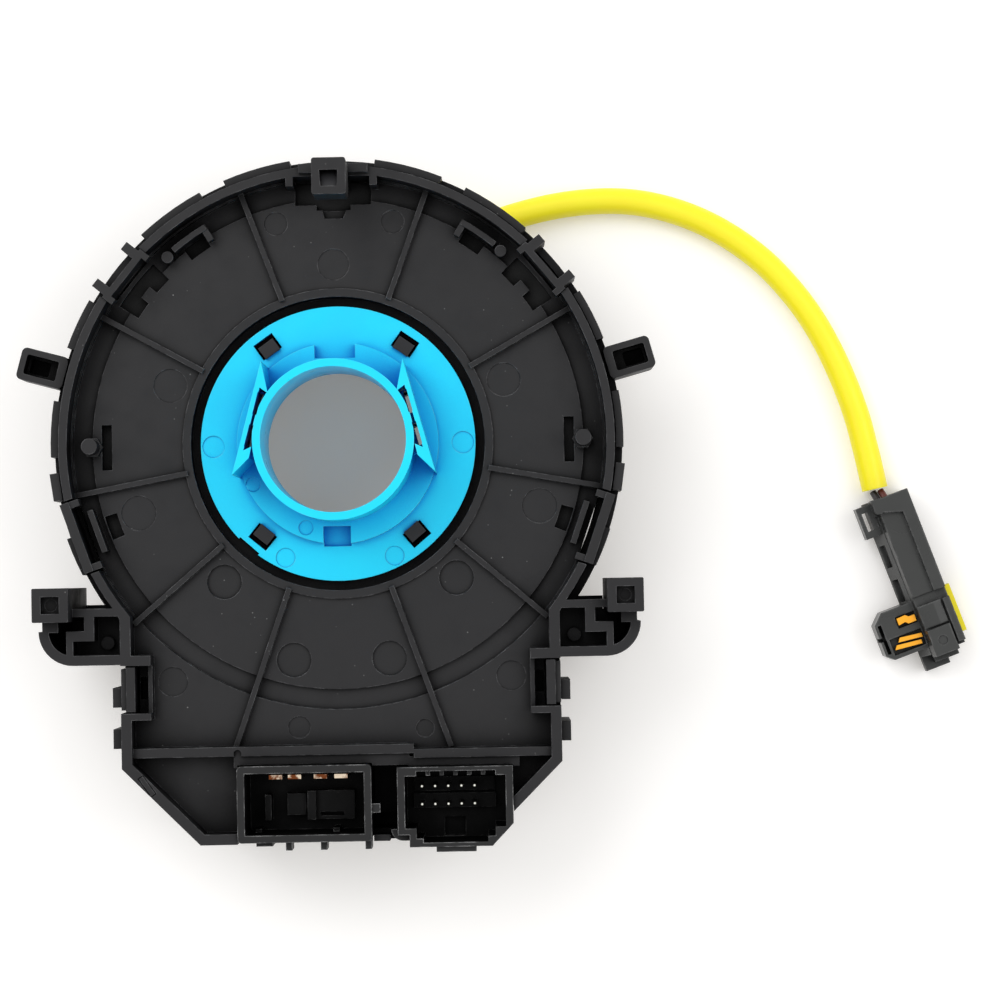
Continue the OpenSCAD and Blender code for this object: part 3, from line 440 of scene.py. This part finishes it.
@dataclass
class Finishes:
    """All finishes of the object, each made once."""

    cover: Material = field(init=False)
    recess: Material = field(init=False)
    case: Material = field(init=False)
    rotor: Material = field(init=False)
    socket: Material = field(init=False)
    sleeve: Material = field(init=False)
    plug: Material = field(init=False)
    lead: Material = field(init=False)
    lock: Material = field(init=False)
    insert: Material = field(init=False)
    wire_dark: Material = field(init=False)
    wire_brown: Material = field(init=False)
    film: Material = field(init=False)
    ribbon: Material = field(init=False)
    pin: Material = field(init=False)
    blade: Material = field(init=False)

    def __post_init__(self) -> None:
        """Makes every material from its finish."""
        self.mould_housings()
        self.mould_plug()
        self.make_conductors()

    def mould_housings(self) -> None:
        """Makes the finishes of the case, the turning side and the sockets."""
        # Matt charcoal with pale edges, partly rubbed wear and partly painted highlight, a little dust and
        # darker ejector pads
        self.cover = MouldedPlastic(
            "glass_filled_pbt_cover", "#131215", "#0C0B0E", "#9A9A9C", 0.52,
            edge_wear_and_highlight_strength=0.55, dust=0.5, pads=COVER_PADS,
        ).build()
        # The cover's plastic, smoother and painted a lighter grey as a painted highlight, on the slope in
        # the catch's head
        self.recess = MouldedPlastic(
            "glass_filled_pbt_recess_painted_highlight", "#3A3A3D", "#242426", "#8C8C8E", 0.4,
            edge_wear_and_highlight_strength=0.6, painted_shade_mm=1.0,
        ).build()
        # Matt charcoal, a touch smoother than the cover and less dusty
        self.case = MouldedPlastic(
            "glass_filled_pbt_case", "#131215", "#0C0B0D", "#8C8C8E", 0.5, edge_wear_and_highlight_strength=0.5,
        ).build()
        # A coarser spark-eroded black that glints less evenly
        self.rotor = MouldedPlastic(
            "glass_filled_pbt_rotor", "#151417", "#0E0D10", "#808082", 0.5, Grain.COARSE_SPARK,
        ).build()
        # Deep black shells, darkened further by painted shade far down inside, whose mouths are rubbed pale
        # by the mating plugs
        self.socket = MouldedPlastic(
            "moulded_pbt_socket", "#0B0B0D", "#060607", "#D0D0D0", 0.46,
            edge_wear_and_highlight_strength=0.9, dust=0.6, painted_shade_mm=22.0,
        ).build()
        # Bright cyan acetal with a soft sheen, painted deep azure as shade in its hollows and painted pale
        # cyan as highlight on its edges
        self.sleeve = MouldedPlastic(
            "moulded_acetal_sleeve", "#08E2FF", "#04CCF8", "#70FAFF", 0.34, Grain.POLISHED,
            grain_depth_mm=0.02, edge_mm=0.25, edge_wear_and_highlight_strength=0.8, dust=0.0, ior=1.42,
            painted_shade_mm=10.0, painted_shade_colour="#0454C4",
        ).build()
        # Thin film coloured near-black as painted shade, so that the floor's slots show only blackness
        self.film = MouldedPlastic(
            "low_friction_film_painted_shade", "#080809", "#050506", "#2A2A2C", 0.45, Grain.POLISHED, dust=0.0,
        ).build()

    def mould_plug(self) -> None:
        """Makes the finishes of the lead's tube, its wires and its plug."""
        # Dark grey with a satin shine, and pale rounded edges that are partly rubbed wear and partly
        # painted highlight
        self.plug = MouldedPlastic(
            "moulded_pbt_plug", "#3A3B3A", "#2B2C2B", "#A8A8A8", 0.3, edge_mm=0.45, edge_wear_and_highlight_strength=0.4,
        ).build()
        # Clean glossy yellow with a painted pale highlight on its edges; its painted shade reaches only 1
        # mm, so it stays bright right down to its seat
        self.lock = MouldedPlastic(
            "moulded_pbt_lock", "#FFF21A", "#FFE60C", "#FFFA90", 0.4, Grain.POLISHED,
            dust=0.0, painted_shade_mm=1.0,
        ).build()
        # Orange-yellow carriers, glossy and clean inside the plug
        self.insert = MouldedPlastic(
            "moulded_pbt_insert", "#FFB81E", "#FFA010", "#FFE080", 0.38, Grain.POLISHED, dust=0.0,
        ).build()
        # Saturated yellow with a waxy depth
        self.lead = VinylTube("extruded_vinyl_sleeving", "#FFF71E", "#FFE914").build()
        # Near-black and red-brown insulation, waxy too
        self.wire_dark = VinylTube("extruded_wire_insulation_black", "#201512", "#140C0A").build()
        self.wire_brown = VinylTube("extruded_wire_insulation_brown", "#7A2E20", "#521E14").build()

    def make_conductors(self) -> None:
        """Makes the finishes of the ribbon, the pins and the blades."""
        # Copper tracks under clear film give a warm, even glint
        self.ribbon = MouldedPlastic(
            "laminated_copper_ribbon", "#B4702E", "#9A5A22", "#D89A58", 0.3, Grain.POLISHED, dust=0.0,
        ).build()
        # Tin plate: a painted highlight at each pin's tip and painted shade on its sides down in the socket
        self.pin = PlatedBrass("tin_plated_pin", "#FFFFF4", "#1A1815", 0.22, tip_light_and_shade=True).build()
        # Gold flash over brass: painted pale highlights beside darker brown patches
        self.blade = PlatedBrass("gold_flashed_blade", "#FFEBD0", "#7A4426", 0.24, contrast=0.16).build()


def dress(node: str, material: Material) -> None:
    """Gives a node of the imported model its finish.

    Args:
        node: The node's name.
        material: The finish.
    """
    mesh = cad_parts[node].data
    mesh.materials.clear()
    mesh.materials.append(material)
    LOG.info("dressed %s in %s", node, material.name)


@dataclass
class CatchRamp:
    """The sloped floor in the recess of the tall catch's head."""

    outline_mm: tuple[tuple[float, float], ...] = (
        (-1.32, 46.74), (1.57, 46.74), (1.76, 49.66), (-1.56, 49.66),
    )
    bottom_mm: float = 42.82
    tops_mm: tuple[float, ...] = (45.2, 45.2, 43.6, 43.6)

    def build(self, finishes: Finishes) -> Object:
        """Makes the ramp as a closed prism whose top slopes.

        Args:
            finishes: The object's finishes.

        Returns:
            The ramp.
        """
        count = len(self.outline_mm)
        low = [(x * MM, y * MM, self.bottom_mm * MM) for x, y in self.outline_mm]
        high = [(x * MM, y * MM, z * MM) for (x, y), z in zip(self.outline_mm, self.tops_mm)]
        ends = [tuple(reversed(range(count))), tuple(range(count, 2 * count))]
        sides = [(i, (i + 1) % count, count + (i + 1) % count, count + i) for i in range(count)]
        mesh = bpy.data.meshes.new("catch_head_ramp")
        mesh.from_pydata(low + high, [], ends + sides)
        # The ramp wears the lighter grey that paints a highlight on its slope
        mesh.materials.append(finishes.recess)
        ramp = place_in_scene("catch_head_ramp", mesh)
        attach(ramp, "stator")
        LOG.info("made %s", ramp.name)
        return ramp


@dataclass
class Stator:
    """The standing side: rear cover, front case, sockets and the ribbon in its chamber."""

    blades: int = 4
    pins: int = 10

    def build(self, finishes: Finishes) -> None:
        """Dresses every node of the standing side and adds the catch's ramp.

        Args:
            finishes: The object's finishes.
        """
        dress("rear_cover", finishes.cover)
        dress("front_case", finishes.case)
        for node in ("lead_frame", "srs_socket", "signal_socket"):
            dress(node, finishes.socket)
        dress("flat_cable", finishes.ribbon)
        dress("rear_slip_sheet", finishes.film)
        for i in range(1, self.blades + 1):
            dress(f"srs_blade_{i}", finishes.blade)
        for i in range(1, self.pins + 1):
            dress(f"signal_pin_{i}", finishes.pin)
        CatchRamp().build(finishes)


@dataclass
class Rotor:
    """The turning side: rotor, cancel sleeve and the wheel-side socket."""

    pins: int = 8

    def build(self, finishes: Finishes) -> None:
        """Dresses every node of the turning side.

        Args:
            finishes: The object's finishes.
        """
        dress("rotor", finishes.rotor)
        dress("lead_cover", finishes.rotor)
        dress("cancel_sleeve", finishes.sleeve)
        dress("wheel_socket", finishes.socket)
        dress("wheel_terminal_block", finishes.socket)
        dress("front_slip_sheet", finishes.film)
        for i in range(1, self.pins + 1):
            dress(f"wheel_pin_{i}", finishes.pin)


@dataclass
class AirbagLead:
    """The yellow lead, its two wires and the plug on its end."""

    diameter_mm: float = 5.2
    # Steps of the smooth curve between two points of the route
    steps: int = 6
    exit_mm: Point = (22, 40.3, 4.8)
    route_mm: tuple[Point, ...] = (
        (15, 36.9, 5), (22, 40.3, 4.8), (28, 43.1, 3.8), (34, 45.5, 2.8),
        (43, 47.6, 2.6), (52, 48.4, 2.6), (60, 47.8, 2.6), (68, 45.6, 2.6),
        (75.5, 42, 2.6), (83, 36.6, 2.6), (89, 30.3, 2.6), (94, 23.2, 2.6),
        (98.2, 14.8, 2.6), (101.6, 5.6, 2.6), (103.6, -2.4, 2.6), (105.2, -10, 2.6),
    )
    on_it: tuple[str, ...] = (
        "lead_wire_1", "lead_wire_2", "plug_body", "plug_cover",
        "plug_contact_1", "plug_contact_2", "plug_shorting_clip", "plug_lock",
    )

    def centreline(self) -> list[Vector]:
        """Runs a smooth curve through the route's points.

        Returns:
            Points along the lead's middle, in metres.
        """
        route = [Vector(p) * MM for p in self.route_mm]
        ends = [route[0] * 2 - route[1], *route, route[-1] * 2 - route[-2]]
        line: list[Vector] = []
        for a, b, c, d in zip(ends, ends[1:], ends[2:], ends[3:]):
            for k in range(self.steps):
                t = k / self.steps
                slope, bend, twist = c - a, 2 * a - 5 * b + 4 * c - d, 3 * b - a - 3 * c + d
                line.append(0.5 * (2 * b + slope * t + bend * t ** 2 + twist * t ** 3))
        return [*line, route[-1]]

    def build(self, finishes: Finishes) -> Object:
        """Args:
            finishes: The object's finishes.

        Returns:
            The lead's curve.
        """
        line = self.centreline()
        curve = bpy.data.curves.new("airbag_lead_tube", "CURVE")
        curve.dimensions = "3D"
        curve.bevel_depth = self.diameter_mm * MM / 2
        curve.bevel_resolution = 8
        curve.use_fill_caps = True
        spline = curve.splines.new("POLY")
        spline.points.add(len(line) - 1)
        for point, place in zip(spline.points, line):
            point.co = (*place, 1.0)
        spline.use_smooth = True
        curve.materials.append(finishes.lead)
        tube = place_in_scene("airbag_lead_tube", curve)
        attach(tube, "rotor")
        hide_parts("airbag_lead")
        self.dress_plug(finishes)
        return tube

    def dress_plug(self, finishes: Finishes) -> None:
        """Dresses the wires and every piece of the plug.

        Args:
            finishes: The object's finishes.
        """
        dress("lead_wire_1", finishes.wire_dark)
        dress("lead_wire_2", finishes.wire_brown)
        dress("plug_body", finishes.plug)
        dress("plug_cover", finishes.plug)
        dress("plug_lock", finishes.lock)
        for node in ("plug_contact_1", "plug_contact_2", "plug_shorting_clip"):
            dress(node, finishes.insert)


@dataclass
class Studio:
    """Camera, floor and soft light."""

    sensor_mm: float = 36.0
    focal_px: float = 2968.0
    image_px: float = 1000.0
    camera_mm: Point = (30.38, -26.63, 592.0)
    look_mm: Point = (30.67, -11.54, 32.0)
    roll_up: tuple[float, float] = (0.0192, 0.9998)
    floor_m: float = 3.0
    floor_drop_mm: float = 0.2
    # Glow that only the camera and reflections see, so that the table reads white
    floor_glow: float = 0.18
    # The world's strength on the object, where 1 is what the camera sees
    sky_on_object: float = 0.83
    # Name, place and size in metres, and power in watts
    soft_boxes: tuple[tuple[str, Point, float, float], ...] = (
        ("soft_box_left", (-0.55, 0.55, 0.9), 0.8, 4.8),
        ("soft_box_right", (0.75, 0.1, 0.9), 0.7, 2.1),
    )

    def add_camera(self) -> None:
        """Stands the camera where the photograph was taken from, nearly straight above the part."""
        camera = bpy.data.cameras.new("camera")
        camera.sensor_width = self.sensor_mm
        camera.lens = self.focal_px / self.image_px * self.sensor_mm
        camera.clip_start = 0.01
        camera.clip_end = 20.0
        held = place_in_scene("camera", camera)
        place, look = Vector(self.camera_mm) * MM, Vector(self.look_mm) * MM
        back = (place - look).normalized()
        right = Vector((*self.roll_up, 0)).cross(back).normalized()
        turn = Matrix((right, back.cross(right), back)).transposed().to_4x4()
        held.matrix_world = Matrix.Translation(place) @ turn
        bpy.context.scene.camera = held

    def add_floor(self) -> None:
        """Lays a white table that keeps the part's soft shadow."""
        half = self.floor_m / 2
        mesh = bpy.data.meshes.new("table_top")
        corners = [(-half, -half, 0), (half, -half, 0), (half, half, 0), (-half, half, 0)]
        mesh.from_pydata(corners, [], [(0, 1, 2, 3)])
        floor = place_in_scene("table_top", mesh)
        floor.location.z = -self.floor_drop_mm * MM
        material = blank_material("white_table_laminate")
        tree = material.node_tree
        path = add(tree, "ShaderNodeLightPath")
        seen = add(tree, "ShaderNodeMath",
                   {0: path.outputs["Is Camera Ray"], 1: path.outputs["Is Glossy Ray"]},
                   operation="MAXIMUM")
        seen = add(tree, "ShaderNodeMath",
                   {0: seen.outputs["Value"], 1: path.outputs["Is Transmission Ray"]},
                   operation="MAXIMUM")
        glow = add(tree, "ShaderNodeMath", {0: seen.outputs["Value"], 1: self.floor_glow},
                   operation="MULTIPLY")
        white = add(tree, "ShaderNodeBsdfDiffuse", Color=linear("#F6F6F6"))
        lit = add(tree, "ShaderNodeEmission", {"Strength": glow.outputs["Value"]}, Color=linear("#FFF6EA"))
        both = add(tree, "ShaderNodeAddShader", {0: white.outputs["BSDF"], 1: lit.outputs["Emission"]})
        add(tree, "ShaderNodeOutputMaterial", {"Surface": both.outputs["Shader"]})
        mesh.materials.append(material)

    def add_light(self) -> None:
        """Lights the part from all round, with a soft box above left and a weaker one at the right."""
        world = bpy.data.worlds.new("studio")
        bpy.context.scene.world = world
        world.use_nodes = True
        tree = world.node_tree
        tree.nodes.clear()
        path = add(tree, "ShaderNodeLightPath")
        strength = add(tree, "ShaderNodeMapRange", {"Value": path.outputs["Is Camera Ray"]},
                       To_Min=self.sky_on_object, To_Max=1.0)
        sky = add(tree, "ShaderNodeBackground", {"Strength": strength.outputs["Result"]},
                  Color=(1, 1, 1, 1))
        add(tree, "ShaderNodeOutputWorld", {"Surface": sky.outputs["Background"]})
        for name, place, size, power in self.soft_boxes:
            lamp = bpy.data.lights.new(name, "AREA")
            lamp.size = size
            lamp.energy = power
            held = place_in_scene(name, lamp)
            held.location = place
            held.rotation_euler = (-Vector(place)).to_track_quat("-Z", "Y").to_euler()


def main() -> None:
    """Makes the scene: camera, finishes, lead, standing side, turning side, floor and light."""
    logging.basicConfig(level=logging.INFO, format="%(name)s: %(message)s")
    bpy.context.scene.view_settings.view_transform = "Standard"
    studio = Studio()
    studio.add_camera()
    finishes = Finishes()
    AirbagLead().build(finishes)
    Stator().build(finishes)
    Rotor().build(finishes)
    studio.add_floor()
    studio.add_light()


if __name__ == "__main__":
    main()
